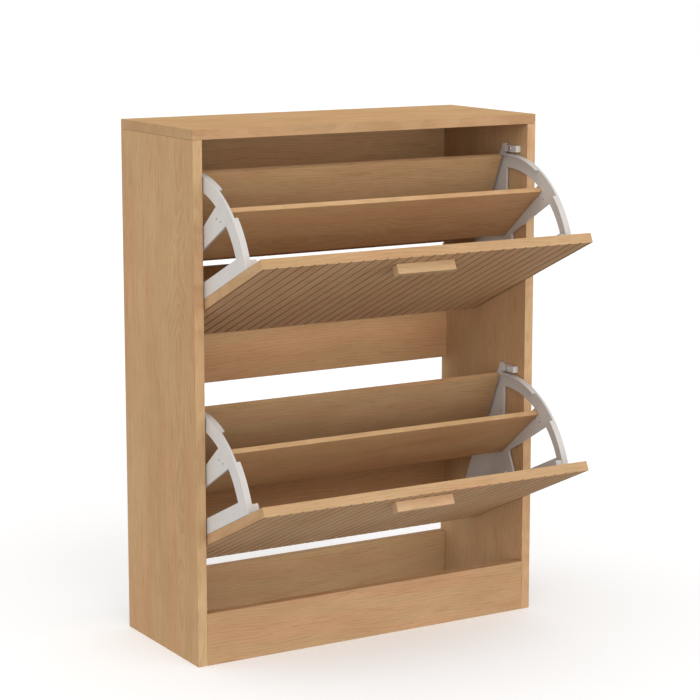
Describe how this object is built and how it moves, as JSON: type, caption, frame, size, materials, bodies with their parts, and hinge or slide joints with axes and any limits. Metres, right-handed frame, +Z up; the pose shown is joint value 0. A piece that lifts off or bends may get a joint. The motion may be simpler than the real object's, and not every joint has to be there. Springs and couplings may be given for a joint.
{
  "type": "shoe cabinet",
  "caption": "Light oak tip-out shoe cabinet with grooved fold-down flaps one above the other, each carrying shoe compartments between grey plastic sector brackets, shown open.",
  "frame": {"origin": "middle of the box around the cabinet with both flaps open, at floor level", "axes": "+Z up, +Y towards the back that stands against the wall, +X to the cabinet's right as seen from the front"},
  "size_m": [0.6, 0.4164, 0.8],
  "materials": {
    "top_oak": "light oak laminate board, grain along the width, satin",
    "side_oak": "light oak laminate board, grain upright, satin",
    "rail_oak": "light oak laminate board, grain along the width, satin",
    "back_panel_oak": "thin back panel with a printed oak face, satin",
    "flap_oak": "light oak board with fine parallel grooves, satin",
    "handle_oak": "solid light oak block, satin",
    "inner_board_oak": "thin light oak laminate board, grain along the width, satin",
    "bracket_plastic": "moulded warm light-grey plastic, satin",
    "stop_plastic": "moulded light-grey plastic",
    "zinc_steel": "zinc-plated steel, satin",
    "beech_dowel": "plain beech, raw"
  },
  "bodies": {
    "cabinet": {"back_panel": "back_panel_oak", "back_rail_lower": "rail_oak", "back_rail_upper": "rail_oak", "cam_back_rail_lower_left": "zinc_steel", "cam_back_rail_lower_right": "zinc_steel", "cam_back_rail_upper_left": "zinc_steel", "cam_back_rail_upper_right": "zinc_steel", "cam_plinth_back_left": "zinc_steel", "cam_plinth_back_right": "zinc_steel", "cam_plinth_front_left": "zinc_steel", "cam_plinth_front_right": "zinc_steel", "dowel_left_front": "beech_dowel", "dowel_left_rear": "beech_dowel", "dowel_right_front": "beech_dowel", "dowel_right_rear": "beech_dowel", "plinth_back": "rail_oak", "plinth_front": "rail_oak", "side_panel_left": "side_oak", "side_panel_right": "side_oak", "top_panel": "top_oak", "lower_pivot_pin_left": "zinc_steel", "lower_pivot_pin_right": "zinc_steel", "lower_stop_block_left": "stop_plastic", "lower_stop_block_right": "stop_plastic", "lower_stop_screw_left": "zinc_steel", "lower_stop_screw_right": "zinc_steel", "upper_pivot_pin_left": "zinc_steel", "upper_pivot_pin_right": "zinc_steel", "upper_stop_block_left": "stop_plastic", "upper_stop_block_right": "stop_plastic", "upper_stop_screw_left": "zinc_steel", "upper_stop_screw_right": "zinc_steel"},
    "upper_unit": {"upper_bracket_left": "bracket_plastic", "upper_bracket_right": "bracket_plastic", "upper_divider": "inner_board_oak", "upper_flap_front": "flap_oak", "upper_flap_screw_left_bottom": "zinc_steel", "upper_flap_screw_left_top": "zinc_steel", "upper_flap_screw_right_bottom": "zinc_steel", "upper_flap_screw_right_top": "zinc_steel", "upper_handle": "handle_oak", "upper_handle_screw_left": "zinc_steel", "upper_handle_screw_right": "zinc_steel", "upper_rear_board": "inner_board_oak", "upper_rear_board_screw_left": "zinc_steel", "upper_rear_board_screw_right": "zinc_steel"},
    "lower_unit": {"lower_bracket_left": "bracket_plastic", "lower_bracket_right": "bracket_plastic", "lower_divider": "inner_board_oak", "lower_flap_front": "flap_oak", "lower_flap_screw_left_bottom": "zinc_steel", "lower_flap_screw_left_top": "zinc_steel", "lower_flap_screw_right_bottom": "zinc_steel", "lower_flap_screw_right_top": "zinc_steel", "lower_handle": "handle_oak", "lower_handle_screw_left": "zinc_steel", "lower_handle_screw_right": "zinc_steel", "lower_rear_board": "inner_board_oak", "lower_rear_board_screw_left": "zinc_steel", "lower_rear_board_screw_right": "zinc_steel"}
  },
  "joints": [
    {"name": "upper_unit_tilt", "type": "hinge", "parent": "cabinet", "child": "upper_unit", "pos_m": [0, 0.00783, 0.5635], "axis": [-1, 0, 0], "range_deg": [0, 65.4]},
    {"name": "lower_unit_tilt", "type": "hinge", "parent": "cabinet", "child": "lower_unit", "pos_m": [0, 0.00783, 0.211], "axis": [-1, 0, 0], "range_deg": [0, 65.4]}
  ]
}
